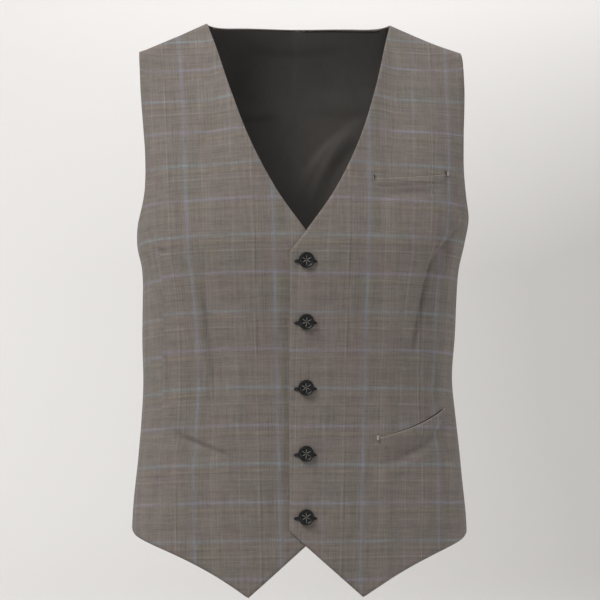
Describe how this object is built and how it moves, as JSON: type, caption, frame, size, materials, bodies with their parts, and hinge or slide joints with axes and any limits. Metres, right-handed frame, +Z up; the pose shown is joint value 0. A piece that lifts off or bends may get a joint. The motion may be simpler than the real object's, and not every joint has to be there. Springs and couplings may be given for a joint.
{
  "type": "suit waistcoat",
  "caption": "Buttoned, sleeveless suit waistcoat in checked cloth, hollow as when worn, with a V neck, pointed hem, welt pockets and a satin-lined back.",
  "frame": {"origin": "midway between the two shoulder straps, at the height and depth where the wearer's shoulders hold the garment up", "axes": "+Z up, +X to the wearer's left, the buttoned fronts face -Y"},
  "size_m": [0.3775, 0.2338, 0.6381],
  "materials": {
    "suiting": "matt worsted twill with a traditional overcheck",
    "lining": "dark satin",
    "buttons": "polished, with a dished face"
  },
  "bodies": {
    "root": {"front_left": "suiting", "front_right": "suiting", "back_left": "suiting", "back_right": "suiting", "back_lining": "lining", "breast_welt": "suiting", "lower_welt": "suiting", "button_1": "buttons", "button_2": "buttons", "button_3": "buttons", "button_4": "buttons", "button_5": "buttons"}
  },
  "joints": []
}
